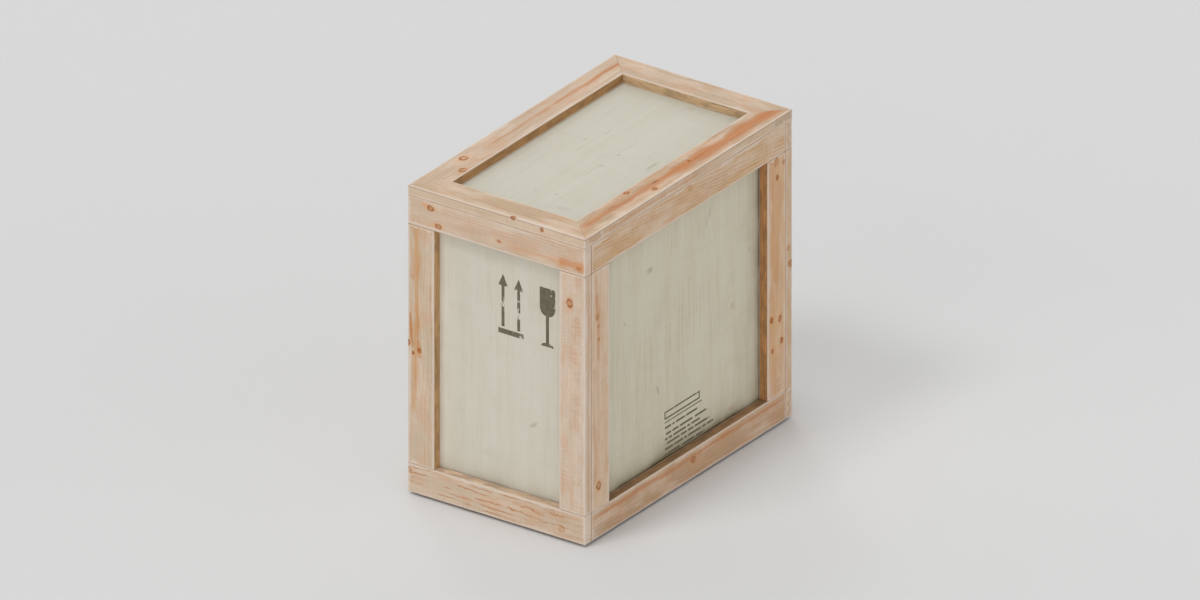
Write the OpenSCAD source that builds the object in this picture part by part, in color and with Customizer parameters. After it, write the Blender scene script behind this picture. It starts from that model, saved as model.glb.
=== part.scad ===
// Battened plywood crate with a lift-off lid.
// Four framed walls stand round a floor on cross bearers. The lid is a lapped and mitred frame
// over a plywood panel that drops in between the walls.
// Sizes are in millimetres. The origin is on the ground, in the middle of the footprint.
// X runs from left to right, Y from front to rear and Z up.

/* [Crate] */
// Width over the front and rear frames
crate_w = 600; // [480:10:900]
// Depth over the front and rear frames
crate_d = 1000; // [640:10:1400]
// Height of the walls, from their lower edge to the top of the rails
wall_h = 916; // [500:1:1200]
// Height at which the bearers hold the walls off the ground
stand_off = 8; // [3:0.5:14]

/* [Battens] */
// Width of a batten's face
batten_w = 88; // [72:1:120]
// Thickness of a batten
batten_t = 30; // [24:0.5:40]
// Eased arris along the grain
arris = 2; // [0.5:0.25:4]
// Eased arris round the sawn ends
end_arris = 1; // [0.25:0.25:2]

/* [Panels] */
// Thickness of the plywood in the walls
wall_ply_t = 9; // [6:0.5:15]
// Thickness of the plywood in the lid
lid_ply_t = 9; // [6:0.5:15]
// Thickness of the plywood in the floor
floor_ply_t = 12; // [9:0.5:21]
// Gap round the floor, between it and the walls
floor_gap = 1; // [0.5:0.25:4]

/* [Lid] */
// Gap round the lid's plywood, where it drops in between the rails
lid_gap = 2; // [0.5:0.25:5]
// Thickness of the mitred layer on top of each lapped corner
mitre_t = 5; // [4:0.5:12]

/* [Nails] */
// Shank of the nails that hold the plywood to the battens
panel_nail_d = 2.2; // [1.8:0.1:2.8]
// Flat head of a panel nail
panel_head_d = 5; // [4:0.25:7]
// Thickness of a panel nail's head
panel_head_t = 1; // [0.6:0.1:1.5]
// Wood left beyond the point of a panel nail
point_cover = 8; // [4:0.5:12]
// Widest spacing of the panel nails
panel_pitch = 150; // [100:5:250]
// Shank of the nails that hold the frames to each other
frame_nail_d = 3; // [2.5:0.1:3.6]
// Lost head of a frame nail
frame_head_d = 4.2; // [3.8:0.1:6]
// Straight rim of a lost head, above its taper
frame_head_t = 1; // [0.6:0.1:1.5]
// Taper under a lost head
frame_taper = 1.5; // [1:0.1:2.5]
// Length of a frame nail
frame_nail_l = 65; // [55:1:75]
// Depth to which the frame nails are punched below the wood
punch_depth = 1.5; // [0.5:0.25:3]
// Space between the two nails in a bearer's end
bearer_nail_gap = 44; // [30:1:56]
// Wood left beyond the point of the pin in a lapped corner
pin_cover = 2; // [1.5:0.25:3.5]
// Length of a nail's point
point_l = 4; // [2:0.25:6]
// Clearance between a nail and its hole, on the radius
nail_fit = 0.1; // [0.05:0.05:0.3]

/* [Hidden] */
$fn = 24;
pine = [0.80, 0.68, 0.57];
planed_ply = [0.77, 0.74, 0.67];
steel = [0.55, 0.55, 0.57];

// Turns of a wall about the middle of the crate, from the front wall
front = 0;
right = 90;
rear = 180;
left = 270;
// Levels of the two rails in a wall
top = 1;
bottom = -1;

// Heights above the ground
wall_top = stand_off + wall_h;
stile_l = wall_h - 2 * batten_w;
stile_mid = stand_off + wall_h / 2;
floor_z = batten_t + floor_ply_t;
lid_ply_z = wall_top - lid_ply_t;
crate_h = wall_top + batten_t;

// Half widths. The side walls stand between the front and rear frames.
half_w = crate_w / 2;
half_d = crate_d / 2;
side_half = half_d - batten_t;
inner_x = half_w - batten_t - wall_ply_t;
inner_y = half_d - batten_t - wall_ply_t;

// Lines of panel nails, midway over the face of each batten that is left clear inside
nail_x = (half_w - batten_w + inner_x) / 2;
nail_y = (half_d - batten_t - batten_w + inner_y) / 2;
nail_top_z = (wall_top - batten_w + lid_ply_z) / 2;
nail_bottom_z = (floor_z + stand_off + batten_w) / 2;
bearer_nail_z = (stand_off + batten_t) / 2;
lid_nail_y = (half_d - batten_w + inner_y) / 2;
bearer_y = inner_y - batten_w / 2;

// Places along a row, no further apart than the pitch
function spread(span, pitch) =
    let (n = max(1, ceil(span / pitch)))
    [for (i = [0:n]) span * (i / n - 0.5)];
// Places midway between those of a row, so that crossing nails miss each other
function between(row) = [for (i = [0:len(row) - 2]) (row[i] + row[i + 1]) / 2];

end_rail_row = spread(2 * nail_x, panel_pitch);
side_rail_row = spread(2 * nail_y, panel_pitch);
stile_row = spread(stile_l - batten_w, panel_pitch);
floor_row = spread(2 * inner_x - batten_w, panel_pitch);
lid_end_row = spread(crate_w - 3 * batten_w, panel_pitch);
lid_side_row = spread(crate_d - 3 * batten_w, panel_pitch);
corner_heights = [for (z = between(stile_row)) stile_mid + z];

function rail_z(level) = level == top ? wall_top - batten_w / 2 : stand_off + batten_w / 2;
function row_z(level) = level == top ? nail_top_z : nail_bottom_z;

// Rectangle with its corners cut off
module eased(a, b, cut)
{
    polygon([
        [a / 2 - cut, b / 2], [a / 2, b / 2 - cut], [a / 2, cut - b / 2], [a / 2 - cut, -b / 2],
        [cut - a / 2, -b / 2], [-a / 2, cut - b / 2], [-a / 2, b / 2 - cut], [cut - a / 2, b / 2]
    ]);
}

// Sawn board round its own middle. The arrises along the grain are eased more than the ends.
module board(size, grain)
{
    cut = [for (axis = ["x", "y", "z"]) axis == grain ? arris : end_arris];
    intersection() {
        rotate([90, 0, 90])
            linear_extrude(height = size.x, center = true)
                eased(size.y, size.z, cut.x);
        rotate([90, 0, 0])
            linear_extrude(height = size.y, center = true)
                eased(size.x, size.z, cut.y);
        linear_extrude(height = size.z, center = true)
            eased(size.x, size.y, cut.z);
    }
}

// Outline of a nail that points down from z = 0
function nail_outline(d, head_d, head_t, taper, l) = [
    [0, 0],
    [head_d / 2, 0],
    [head_d / 2, -head_t],
    [d / 2, -head_t - taper],
    [d / 2, point_l - l],
    [0, -l]
];
// Outline of its hole, open above z = 0
function hole_outline(d, head_d, head_t, taper, l) = [
    [0, head_t],
    [head_d / 2 + nail_fit, head_t],
    [head_d / 2 + nail_fit, -head_t - nail_fit],
    [d / 2 + nail_fit, -head_t - taper - nail_fit],
    [d / 2 + nail_fit, -l - nail_fit],
    [0, -l - nail_fit]
];

module nail(d, head_d, head_t, taper, l)
    rotate_extrude() polygon(nail_outline(d, head_d, head_t, taper, l));

module nail_hole(d, head_d, head_t, taper, l)
    rotate_extrude() polygon(hole_outline(d, head_d, head_t, taper, l));

// Flat-headed nail, driven flush through a sheet of this thickness into a batten
module panel_nail(ply_t)
    nail(panel_nail_d, panel_head_d, panel_head_t, 0, ply_t + batten_t - point_cover);

module panel_nail_hole(ply_t)
    nail_hole(panel_nail_d, panel_head_d, panel_head_t, 0, ply_t + batten_t - point_cover);

// Lost-head nail, punched below the face of a batten
module frame_nail()
    translate([0, 0, -punch_depth])
        nail(frame_nail_d, frame_head_d, frame_head_t, frame_taper, frame_nail_l);

module frame_nail_hole()
{
    translate([0, 0, -punch_depth])
        nail_hole(frame_nail_d, frame_head_d, frame_head_t, frame_taper, frame_nail_l);
    cylinder(d = frame_head_d + 2 * nail_fit, h = 2 * punch_depth, center = true);
}

// Pin that holds a lapped corner together from below
module lap_pin()
    nail(panel_nail_d, panel_head_d, panel_head_t, 0, batten_t - pin_cover);

module lap_pin_hole()
    nail_hole(panel_nail_d, panel_head_d, panel_head_t, 0, batten_t - pin_cover);

// Places of the nails. Each child points along -Z and is turned the way that it is driven.

// Through a wall's plywood into its rail, from inside
module rail_spots(turn, level)
{
    ends = turn == front || turn == rear;
    reach = ends ? inner_y : inner_x;
    for (x = ends ? end_rail_row : side_rail_row)
        rotate(turn) translate([x, -reach, row_z(level)]) rotate([-90, 0, 0]) children();
}

// Through a wall's plywood into a stile, from inside. The side is -1 or 1, seen from outside.
module stile_spots(turn, side)
{
    ends = turn == front || turn == rear;
    reach = ends ? inner_y : inner_x;
    line = ends ? nail_x : nail_y;
    for (z = stile_row)
        rotate(turn) translate([side * line, -reach, stile_mid + z]) rotate([-90, 0, 0]) children();
}

module wall_spots(turn)
{
    for (level = [bottom, top]) rail_spots(turn, level) children();
    for (side = [-1, 1]) stile_spots(turn, side) children();
}

// Through the front and rear frames into the edges of the side frames
module corner_spots(heights)
    for (turn = [front, rear], side = [-1, 1], z = heights)
        rotate(turn)
            translate([side * (half_w - batten_t / 2), -half_d, z])
                rotate([90, 0, 0]) children();

// Through the bottom rails and the plywood into the bearers
module bearer_spots()
{
    for (turn = [front, rear], x = between(end_rail_row))
        rotate(turn) translate([x, -half_d, bearer_nail_z]) rotate([90, 0, 0]) children();
    for (turn = [left, right], y = [-bearer_y, 0, bearer_y], side = [-1, 1])
        rotate(turn)
            translate([y + side * bearer_nail_gap / 2, -half_w, bearer_nail_z])
                rotate([90, 0, 0]) children();
}

// Down through the floor into one bearer
module floor_spots(y)
    for (x = floor_row) translate([x, y, floor_z]) children();

// Down through the lid's battens into the top rails
module lid_spots()
{
    for (turn = [front, rear], x = between(end_rail_row))
        rotate(turn) translate([x, batten_t / 2 - half_d, crate_h]) children();
    for (turn = [left, right], x = between(side_rail_row))
        rotate(turn) translate([x, batten_t / 2 - half_w, crate_h]) children();
}

// Up through the lid's plywood into its battens
module lid_panel_spots()
{
    for (turn = [front, rear], x = lid_end_row)
        rotate(turn) translate([x, -lid_nail_y, lid_ply_z]) rotate([180, 0, 0]) children();
    for (turn = [left, right], x = lid_side_row)
        rotate(turn) translate([x, -nail_x, lid_ply_z]) rotate([180, 0, 0]) children();
}

// Up through the lap of each lid corner, in the middle of the mitred triangle
module lap_spots()
    for (x = [-1, 1], y = [-1, 1])
        translate([x * (half_w - batten_w / 3), y * (half_d - 2 * batten_w / 3), wall_top])
            rotate([180, 0, 0]) children();

// Pieces of the front and rear walls

module end_rail(turn, level)
{
    color(pine) difference() {
        rotate(turn)
            translate([0, batten_t / 2 - half_d, rail_z(level)])
                board([crate_w, batten_t, batten_w], "x");
        rail_spots(turn, level) panel_nail_hole(wall_ply_t);
        corner_spots([rail_z(level)]) frame_nail_hole();
        if (level == top) lid_spots() frame_nail_hole();
        if (level == bottom) bearer_spots() frame_nail_hole();
    }
}

module end_stile(turn, side)
{
    color(pine) difference() {
        rotate(turn)
            translate([side * (half_w - batten_w / 2), batten_t / 2 - half_d, stile_mid])
                board([batten_w, batten_t, stile_l], "z");
        stile_spots(turn, side) panel_nail_hole(wall_ply_t);
        corner_spots(corner_heights) frame_nail_hole();
    }
}

module end_panel(turn)
{
    color(planed_ply) difference() {
        rotate(turn)
            translate([batten_t - half_w, batten_t - half_d, stand_off])
                cube([crate_w - 2 * batten_t, wall_ply_t, wall_h - lid_ply_t]);
        wall_spots(turn) panel_nail_hole(wall_ply_t);
        bearer_spots() frame_nail_hole();
    }
}

// Pieces of the left and right walls

module side_rail(turn, level)
{
    color(pine) difference() {
        rotate(turn)
            translate([0, batten_t / 2 - half_w, rail_z(level)])
                board([2 * side_half, batten_t, batten_w], "x");
        rail_spots(turn, level) panel_nail_hole(wall_ply_t);
        corner_spots([rail_z(level)]) frame_nail_hole();
        if (level == top) lid_spots() frame_nail_hole();
        if (level == bottom) bearer_spots() frame_nail_hole();
    }
}

module side_stile(turn, side)
{
    color(pine) difference() {
        rotate(turn)
            translate([side * (side_half - batten_w / 2), batten_t / 2 - half_w, stile_mid])
                board([batten_w, batten_t, stile_l], "z");
        stile_spots(turn, side) panel_nail_hole(wall_ply_t);
        corner_spots(corner_heights) frame_nail_hole();
    }
}

module side_panel(turn)
{
    color(planed_ply) difference() {
        rotate(turn)
            translate([-inner_y, batten_t - half_w, stand_off])
                cube([2 * inner_y, wall_ply_t, wall_h - lid_ply_t]);
        wall_spots(turn) panel_nail_hole(wall_ply_t);
        bearer_spots() frame_nail_hole();
    }
}

// Pieces of the floor

module floor_panel()
{
    x = inner_x - floor_gap;
    y = inner_y - floor_gap;
    color(planed_ply) difference() {
        translate([-x, -y, batten_t]) cube([2 * x, 2 * y, floor_ply_t]);
        for (y = [-bearer_y, 0, bearer_y]) floor_spots(y) panel_nail_hole(floor_ply_t);
    }
}

module bearer(y)
{
    color(pine) difference() {
        translate([0, y, batten_t / 2]) board([2 * inner_x, batten_w, batten_t], "x");
        floor_spots(y) panel_nail_hole(floor_ply_t);
        bearer_spots() frame_nail_hole();
    }
}

// All that lies beyond the mitres at both ends of a lid batten, in the mitred layer
module past_mitres(half_l, reach)
{
    far = 2 * batten_w;
    for (side = [-1, 1])
        translate([0, 0, crate_h - mitre_t])
            linear_extrude(height = 2 * mitre_t)
                polygon([
                    [side * half_l, -reach],
                    [side * (half_l - far), far - reach],
                    [side * (half_l + far), far - reach],
                    [side * (half_l + far), -reach]
                ]);
}

// Pieces of the lid. At each corner the front or rear batten runs through as the lower layer of
// the lap, the side batten is shouldered against it, and the thin layer on top is mitred.

module lid_end_batten(turn)
{
    color(pine) difference() {
        rotate(turn)
            translate([0, batten_w / 2 - half_d, wall_top + batten_t / 2])
                board([crate_w, batten_w, batten_t], "x");
        rotate(turn) past_mitres(half_w, half_d);
        lid_panel_spots() panel_nail_hole(lid_ply_t);
        lap_spots() lap_pin_hole();
        lid_spots() frame_nail_hole();
    }
}

module lid_side_batten(turn)
{
    color(pine) difference() {
        rotate(turn)
            translate([0, batten_w / 2 - half_w, wall_top + batten_t / 2])
                board([crate_d, batten_w, batten_t], "x");
        rotate(turn) past_mitres(half_d, half_w);
        for (side = [-1, 1])
            rotate(turn)
                translate([side * half_d - batten_w, -half_w - batten_w, wall_top - mitre_t])
                    cube([2 * batten_w, 3 * batten_w, batten_t]);
        lid_panel_spots() panel_nail_hole(lid_ply_t);
        lap_spots() lap_pin_hole();
        lid_spots() frame_nail_hole();
    }
}

module lid_panel()
{
    x = half_w - batten_t - lid_gap;
    y = half_d - batten_t - lid_gap;
    color(planed_ply) difference() {
        translate([-x, -y, lid_ply_z]) cube([2 * x, 2 * y, lid_ply_t]);
        lid_panel_spots() panel_nail_hole(lid_ply_t);
    }
}

module front_top_rail() end_rail(front, top);
module front_bottom_rail() end_rail(front, bottom);
module front_left_stile() end_stile(front, -1);
module front_right_stile() end_stile(front, 1);
module front_panel() end_panel(front);

module rear_top_rail() end_rail(rear, top);
module rear_bottom_rail() end_rail(rear, bottom);
module rear_left_stile() end_stile(rear, 1);
module rear_right_stile() end_stile(rear, -1);
module rear_panel() end_panel(rear);

module left_top_rail() side_rail(left, top);
module left_bottom_rail() side_rail(left, bottom);
module left_front_stile() side_stile(left, 1);
module left_rear_stile() side_stile(left, -1);
module left_panel() side_panel(left);

module right_top_rail() side_rail(right, top);
module right_bottom_rail() side_rail(right, bottom);
module right_front_stile() side_stile(right, -1);
module right_rear_stile() side_stile(right, 1);
module right_panel() side_panel(right);

module front_bearer() bearer(-bearer_y);
module middle_bearer() bearer(0);
module rear_bearer() bearer(bearer_y);

module lid_front_batten() lid_end_batten(front);
module lid_rear_batten() lid_end_batten(rear);
module lid_left_batten() lid_side_batten(left);
module lid_right_batten() lid_side_batten(right);

module front_panel_nails() color(steel) wall_spots(front) panel_nail(wall_ply_t);
module rear_panel_nails() color(steel) wall_spots(rear) panel_nail(wall_ply_t);
module left_panel_nails() color(steel) wall_spots(left) panel_nail(wall_ply_t);
module right_panel_nails() color(steel) wall_spots(right) panel_nail(wall_ply_t);

module corner_nails()
    color(steel)
        corner_spots(concat([rail_z(bottom), rail_z(top)], corner_heights)) frame_nail();

module bearer_nails() color(steel) bearer_spots() frame_nail();

module floor_nails()
    color(steel)
        for (y = [-bearer_y, 0, bearer_y]) floor_spots(y) panel_nail(floor_ply_t);

module lid_panel_nails() color(steel) lid_panel_spots() panel_nail(lid_ply_t);
module lid_lap_pins() color(steel) lap_spots() lap_pin();
module lid_nails() color(steel) lid_spots() frame_nail();

front_top_rail();
front_bottom_rail();
front_left_stile();
front_right_stile();
front_panel();
rear_top_rail();
rear_bottom_rail();
rear_left_stile();
rear_right_stile();
rear_panel();
left_top_rail();
left_bottom_rail();
left_front_stile();
left_rear_stile();
left_panel();
right_top_rail();
right_bottom_rail();
right_front_stile();
right_rear_stile();
right_panel();
floor_panel();
front_bearer();
middle_bearer();
rear_bearer();
lid_front_batten();
lid_rear_batten();
lid_left_batten();
lid_right_batten();
lid_panel();
front_panel_nails();
rear_panel_nails();
left_panel_nails();
right_panel_nails();
corner_nails();
bearer_nails();
floor_nails();
lid_panel_nails();
lid_lap_pins();
lid_nails();
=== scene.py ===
"""Battened plywood crate with a lift-off lid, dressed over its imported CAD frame.

Lengths inside a section are in millimetres, as on the drawing, and meshes are scaled to metres.
"""
import bpy
import bmesh
import math
import random
from mathutils import Matrix, Vector, noise


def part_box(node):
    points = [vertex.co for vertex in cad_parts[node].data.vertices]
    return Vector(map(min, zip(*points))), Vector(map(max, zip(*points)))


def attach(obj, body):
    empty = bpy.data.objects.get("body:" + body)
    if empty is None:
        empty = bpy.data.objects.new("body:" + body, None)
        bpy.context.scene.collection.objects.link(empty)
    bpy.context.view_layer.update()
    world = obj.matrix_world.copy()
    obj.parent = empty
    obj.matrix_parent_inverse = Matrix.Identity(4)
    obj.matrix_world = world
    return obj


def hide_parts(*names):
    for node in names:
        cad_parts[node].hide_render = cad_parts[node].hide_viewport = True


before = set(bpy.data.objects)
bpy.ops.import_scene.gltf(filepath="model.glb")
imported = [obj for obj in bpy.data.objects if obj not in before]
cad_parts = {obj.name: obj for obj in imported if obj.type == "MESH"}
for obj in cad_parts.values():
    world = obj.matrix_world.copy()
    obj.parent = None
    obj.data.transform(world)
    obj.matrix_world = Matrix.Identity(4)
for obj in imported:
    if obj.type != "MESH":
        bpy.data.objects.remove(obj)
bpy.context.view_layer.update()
scene = bpy.context.scene
scene.view_settings.view_transform = "Standard"


# Camera. The photograph looks down on the front right corner, and parallel edges of the crate stay
# parallel in it, so the camera is orthographic. The frame is taken to be 1200 by 600 pixels.
def placed(name, data):
    """A new object in the scene that shows this data."""
    made = bpy.data.objects.new(name, data)
    scene.collection.objects.link(made)
    return made


frame_width_px = 1200
px_per_metre = 360.68
stand_off = 8
turn, tilt = math.radians(35.02), math.radians(26.265)
away = Vector((math.sin(turn) * math.cos(tilt), -math.cos(turn) * math.cos(tilt), math.sin(tilt)))
sideways = Vector((math.cos(turn), math.sin(turn), 0))
middle_height = 0.478
shift_across, shift_up = -0.00007, 0.00244
aim = Vector((0, 0, middle_height)) + shift_across * sideways + shift_up * away.cross(sideways)
camera = placed("camera", bpy.data.cameras.new("camera"))
camera.data.type = "ORTHO"
camera.data.ortho_scale = frame_width_px / px_per_metre
camera.location = aim + stand_off * away
camera.rotation_euler = away.to_track_quat("Z", "Y").to_euler()
scene.camera = camera


# Studio light. A softbox overhead and one high at the front left throw the shadow on the floor, and
# low, wide fills light the sides. A pale tent round it all keeps the shadows open.
tent = bpy.data.worlds.new("tent")
tent.use_nodes = True
glow = tent.node_tree.nodes["Background"].inputs
glow["Color"].default_value = (1, 1, 1, 1)
glow["Strength"].default_value = 0.30
scene.world = tent
for label, towards, strength, spread in (
        ("overhead_softbox", (-0.018, -0.047, 0.999), 0.85, 16),
        ("key_softbox", (-0.196, -0.508, 0.839), 0.61, 16),
        ("rear_left_spill", (-0.546, 0.463, 0.698), 0.20, 12),
        ("front_fill", (0, -0.998, 0.07), 1.38, 70), ("corner_fill", (0.864, -0.499, 0.07), 0.56, 70),
        ("right_fill", (0.937, 0.341, 0.07), 0.71, 70), ("rear_fill", (-0.172, 0.975, 0.139), 0.80, 70),
        ("left_fill", (-0.930, 0.339, 0.139), 0.53, 70)):
    lamp = placed(label, bpy.data.lights.new(label, "SUN"))
    lamp.data.energy = strength
    lamp.data.angle = math.radians(spread)
    lamp.rotation_euler = Vector(towards).to_track_quat("Z", "Y").to_euler()


# Floor. A wide sheet of matt grey-white paper under the crate, with the faint mottling of
# paper. The node helpers are defined here, where they are first used.
def srgb(red, green, blue):
    """A colour as a paint chart gives it, 0 to 255, turned into linear light."""
    def linear(value):
        value /= 255
        return value / 12.92 if value <= 0.04045 else ((value + 0.055) / 1.055) ** 2.4
    return (linear(red), linear(green), linear(blue), 1.0)


class Nodes:
    """A node tree that grows one node at a time, feeding its sockets in order."""

    def __init__(self, tree):
        self.tree = tree
        self.colour = None

    def feed(self, made, feeds):
        for key, value in feeds:
            if isinstance(value, bpy.types.NodeSocket):
                self.tree.links.new(value, made.inputs[key])
            elif value is not None:
                made.inputs[key].default_value = value

    def add(self, kind, *feeds, sockets=None, out=0, **settings):
        made = self.tree.nodes.new("ShaderNode" + kind)
        for name, value in settings.items():
            setattr(made, name, value)
        self.feed(made, [*enumerate(feeds), *(sockets or {}).items()])
        return made.outputs if out is None else made.outputs[out]

    def group(self, shared, *feeds):
        made = self.tree.nodes.new("ShaderNodeGroup")
        made.node_tree = shared
        self.feed(made, enumerate(feeds))
        return made.outputs

    def calc(self, how, *values):
        return self.add("Math", *values, operation=how)

    def times(self, one, other):
        return self.calc("MULTIPLY", one, other)

    def minus(self, one, other):
        return self.calc("SUBTRACT", one, other)

    def fade(self, value, start, end, low=0.0, high=1.0):
        return self.add("MapRange", value, start, end, low, high, interpolation_type="SMOOTHSTEP")

    def ridge(self, value, foot, top, far_top, far_foot):
        """One between the two tops, and nought past either foot."""
        return self.times(self.fade(value, foot, top), self.fade(value, far_foot, far_top))

    def vector(self, how, *values, out=0):
        return self.add("VectorMath", *values, operation=how, out=out)

    def length(self, vector, scale=None):
        """How long a vector is, after each of its parts is scaled."""
        scaled = self.vector("MULTIPLY", vector, scale) if scale else vector
        return self.vector("LENGTH", scaled, out=1)

    def split(self, vector):
        return self.add("SeparateXYZ", vector, out=None)

    def noise(self, vector, scale=1.0, detail=2.0, rough=0.5, out=0):
        sockets = {"Vector": vector, "Scale": scale, "Detail": detail, "Roughness": rough}
        return self.add("TexNoise", sockets=sockets, out=out)

    def drawn(self, vector, scale, detail=2.0, rough=0.5):
        """Noise drawn out along the grain by a scale of its own each way."""
        return self.noise(self.vector("MULTIPLY", vector, scale), 1, detail, rough)

    def wander(self, vector, scale, breadth, detail=2.0, rough=0.5):
        """Drawn noise that swings about nought."""
        swing = self.minus(self.drawn(vector, scale, detail, rough), 0.5)
        return self.times(swing, breadth)

    def mix(self, share, one, other, how="MIX"):
        return self.add("Mix", sockets={0: share, 6: one, 7: other}, out=2,
                        data_type="RGBA", blend_type=how)

    def lay(self, tone, *shares, how="MIX"):
        """Lays a tone over the colour so far, by one share or by two multiplied."""
        share = self.times(*shares) if len(shares) == 2 else shares[0]
        self.colour = self.mix(share, self.colour, tone, how)

    def millimetres(self):
        """Where the surface is in its piece's own axes."""
        here = self.add("TexCoord", out=3)
        return self.vector("MULTIPLY", here, (1000, 1000, 1000))

    def bump(self, height, depth):
        return self.add("Bump", sockets={"Strength": 1.0, "Distance": depth, "Height": height})


def finish_of(name, **fixed):
    """A new material. Gives it back with its nodes and its surface shader's inputs."""
    material = bpy.data.materials.new(name)
    material.use_nodes = True
    surface = material.node_tree.nodes["Principled BSDF"].inputs
    for socket, value in fixed.items():
        surface[socket.replace("_", " ")].default_value = value
    return material, Nodes(material.node_tree), surface


def join(nodes, surface, **feeds):
    for socket, feed in feeds.items():
        nodes.tree.links.new(feed, surface[socket.replace("_", " ")])


floor_reach = 30
floor_mesh = bpy.data.meshes.new("studio_floor")
floor_mesh.from_pydata([(-floor_reach, -floor_reach, 0), (floor_reach, -floor_reach, 0),
                        (floor_reach, floor_reach, 0), (-floor_reach, floor_reach, 0)],
                       [], [(0, 1, 2, 3)])
floor = placed("studio_floor", floor_mesh)
paper, nodes, surface = finish_of("floor_paper", Roughness=0.9, Specular_IOR_Level=0.15)
mottle = nodes.noise(nodes.millimetres(), 0.004, 3)
shade = nodes.mix(nodes.times(mottle, 0.03), srgb(215, 215, 215), srgb(188, 188, 188))
join(nodes, surface, Base_Color=shade)
floor_mesh.materials.append(paper)


# Bearers. Three cross pieces of rough pine carry the floor and hold the walls 8 mm off the ground,
# nailed through the bottom rails. They are the first of the boards, so how any board is sawn, worn
# and coloured is set down here. Wood goes only inwards from the CAD solid, and a nick is a dent.
FRONT, REAR = Vector((0, -1, 0)), Vector((0, 1, 0))
LEFT, RIGHT = Vector((-1, 0, 0)), Vector((1, 0, 0))
DOWN, UP = Vector((0, 0, -1)), Vector((0, 0, 1))
planed_off = 0.12
sawn_short = 0.5
let_in = 0.7
narrowest_arris = 1.1
widest_arris = 2.4
end_ease = 0.9
mitred_layer = 5
slice_length = 6
slice_width = 10


def square_block(half):
    """Corners and faces of a board with square ends."""
    u, v, w = half
    corners = [(x, y, z) for x in (-u, u) for y in (-v, v) for z in (-w, w)]
    faces = [(0, 1, 3, 2), (4, 6, 7, 5), (0, 4, 5, 1), (2, 3, 7, 6), (0, 2, 6, 4), (1, 5, 7, 3)]
    return corners, faces


def lapped_block(half, runs_through):
    """Corners and faces of a lid batten: lapped below, and mitred in its topmost layer."""
    u, v, w = half
    level = w - mitred_layer
    short = u - 2 * v
    foot = u if runs_through else short
    corners, faces, places = [], [], {}

    def at(*point):
        if point not in places:
            places[point] = len(corners)
            corners.append(point)
        return places[point]

    def face(*points):
        faces.append([at(*point) for point in points])

    for s in (-1, 1):
        face((s * u, -v, level), (s * short, v, level), (s * short, v, w), (s * u, -v, w))
        face((s * foot, -v, -w), (s * foot, v, -w), (s * foot, v, level), (s * foot, -v, level))
        if runs_through:
            face((s * u, -v, level), (s * u, v, level), (s * short, v, level))
        else:
            face((s * short, -v, level), (s * u, -v, level), (s * short, v, level))
    face((-u, -v, w), (u, -v, w), (short, v, w), (-short, v, w))
    face((-foot, -v, -w), (foot, -v, -w), (foot, v, -w), (-foot, v, -w))
    if runs_through:
        face((-u, -v, -w), (u, -v, -w), (u, -v, level), (u, -v, w), (-u, -v, w), (-u, -v, level))
        face((-u, v, -w), (u, v, -w), (u, v, level), (short, v, level), (-short, v, level),
             (-u, v, level))
        face((-short, v, level), (short, v, level), (short, v, w), (-short, v, w))
    else:
        face((-short, -v, -w), (short, -v, -w), (short, -v, level), (-short, -v, level))
        face((-u, -v, level), (-short, -v, level), (short, -v, level), (u, -v, level), (u, -v, w),
             (-u, -v, w))
        face((-short, v, -w), (short, v, -w), (short, v, level), (short, v, w), (-short, v, w),
             (-short, v, level))
    return corners, faces


def sliced(corners, faces, half):
    """The block cut into small faces, closer together beside its arrises."""
    shape = bmesh.new()
    points = [shape.verts.new(corner) for corner in corners]
    for face in faces:
        shape.faces.new([points[i] for i in face])
    bmesh.ops.recalc_face_normals(shape, faces=shape.faces[:])
    for axis, step in ((0, slice_length), (1, slice_width), (2, slice_width)):
        reach = half[axis] - (end_ease if axis == 0 else widest_arris)
        count = max(1, round(2 * reach / step))
        cuts = [reach * (2 * i / count - 1) for i in range(count + 1)]
        edge = (half[axis] + reach) / 2
        for cut in [-edge, *cuts, edge]:
            middle, across = [0, 0, 0], [0, 0, 0]
            middle[axis], across[axis] = cut, 1
            bmesh.ops.bisect_plane(shape, geom=[*shape.verts, *shape.edges, *shape.faces],
                                   dist=1e-4, plane_co=middle, plane_no=across)
    return shape


def wear(shape, half, chance, square_ends):
    """Eases the arrises by a width that wanders a little, and dents them where they were hit."""
    hu, hv, hw = half
    drift = chance.uniform(0, 500)
    worn_zone = 14
    dents = []
    for _ in range(chance.randint(1, 3)):
        side, level = chance.choice((-1, 1)), chance.choice((-1, 1))
        place = Vector((chance.uniform(-0.95, 0.95) * hu, side * hv, level * hw))
        dents.append((place, chance.uniform(5, 10), chance.uniform(0.3, 0.7)))
    for point in shape.verts:
        u, v, w = point.co
        side, level = math.copysign(1, v), math.copysign(1, w)
        if abs(v) > hv - worn_zone and abs(w) > hw - worn_zone:
            along = Vector((u * 0.018, side * 5 + drift, level * 3))
            fine = Vector((u * 0.16, side * 9 + drift, level * 7))
            radius = 1.5 + 0.4 * noise.noise(along) + 0.12 * noise.noise(fine)
            radius = min(widest_arris, max(narrowest_arris, radius))
            x, y = abs(v) - (hv - radius), abs(w) - (hw - radius)
            if x > 0 and y > 0 and math.hypot(x, y) > radius:
                share = radius / math.hypot(x, y)
                v = side * (hv - radius + x * share)
                w = level * (hw - radius + y * share)
            for place, size, depth in dents:
                near = 1 - (Vector((u, v, w)) - place).length / size
                if near > 0:
                    dip = depth * near * near * (3 - 2 * near)
                    v -= side * dip
                    w -= level * dip
        if square_ends:
            past = abs(u) - (hu - end_ease)
            if past > 0:
                inset = end_ease - math.sqrt(max(0, end_ease ** 2 - past ** 2))
                v = side * min(abs(v), hv - inset)
                w = level * min(abs(w), hw - inset)
        point.co = (u, v, w)


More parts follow.
